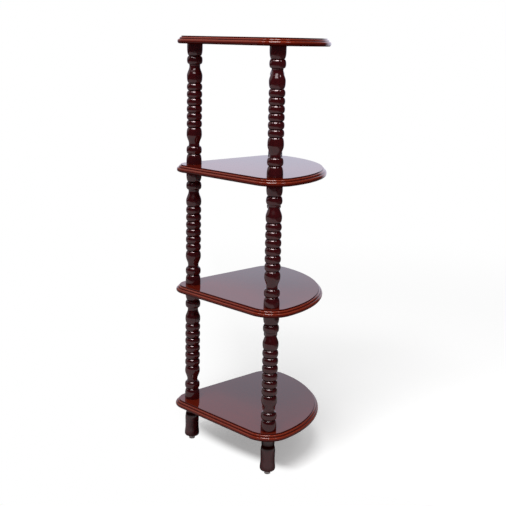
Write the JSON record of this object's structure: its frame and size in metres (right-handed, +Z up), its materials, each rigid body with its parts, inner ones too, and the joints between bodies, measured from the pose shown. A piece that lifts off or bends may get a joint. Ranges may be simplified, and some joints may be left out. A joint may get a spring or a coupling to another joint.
{
  "type": "corner shelf unit",
  "caption": "Tall corner shelf unit of bow-fronted moulded boards, joined by beaded turned spindles and standing on turned feet with glides.",
  "frame": {"origin": "on the floor, under the middle of the footprint's bounding square", "axes": "+Z up; the two straight sides, which go to the walls, face -X and +Y; the bowed front faces +X and -Y"},
  "size_m": [0.32, 0.32, 0.8954],
  "materials": {
    "lacquered_board": "mahogany stain under gloss lacquer",
    "lacquered_turning": "dark mahogany stain under gloss lacquer",
    "zinc_steel": "bright zinc plate",
    "insert_alloy": "yellow passivated zinc alloy",
    "glide_rubber": "moulded black rubber"
  },
  "bodies": {
    "root": {"bottom_shelf": "lacquered_board", "lower_shelf": "lacquered_board", "upper_shelf": "lacquered_board", "top_shelf": "lacquered_board", "corner_glide": "glide_rubber", "corner_glide_nail": "zinc_steel", "corner_foot": "lacquered_turning", "corner_bottom_bolt": "zinc_steel", "corner_bottom_insert": "insert_alloy", "corner_bottom_spindle": "lacquered_turning", "corner_lower_bolt": "zinc_steel", "corner_lower_insert": "insert_alloy", "corner_lower_spindle": "lacquered_turning", "corner_upper_bolt": "zinc_steel", "corner_upper_insert": "insert_alloy", "corner_upper_spindle": "lacquered_turning", "corner_top_bolt": "zinc_steel", "corner_top_insert": "insert_alloy", "left_glide": "glide_rubber", "left_glide_nail": "zinc_steel", "left_foot": "lacquered_turning", "left_bottom_bolt": "zinc_steel", "left_bottom_insert": "insert_alloy", "left_bottom_spindle": "lacquered_turning", "left_lower_bolt": "zinc_steel", "left_lower_insert": "insert_alloy", "left_lower_spindle": "lacquered_turning", "left_upper_bolt": "zinc_steel", "left_upper_insert": "insert_alloy", "left_upper_spindle": "lacquered_turning", "left_top_bolt": "zinc_steel", "left_top_insert": "insert_alloy", "right_glide": "glide_rubber", "right_glide_nail": "zinc_steel", "right_foot": "lacquered_turning", "right_bottom_bolt": "zinc_steel", "right_bottom_insert": "insert_alloy", "right_bottom_spindle": "lacquered_turning", "right_lower_bolt": "zinc_steel", "right_lower_insert": "insert_alloy", "right_lower_spindle": "lacquered_turning", "right_upper_bolt": "zinc_steel", "right_upper_insert": "insert_alloy", "right_upper_spindle": "lacquered_turning", "right_top_bolt": "zinc_steel", "right_top_insert": "insert_alloy"}
  },
  "joints": []
}
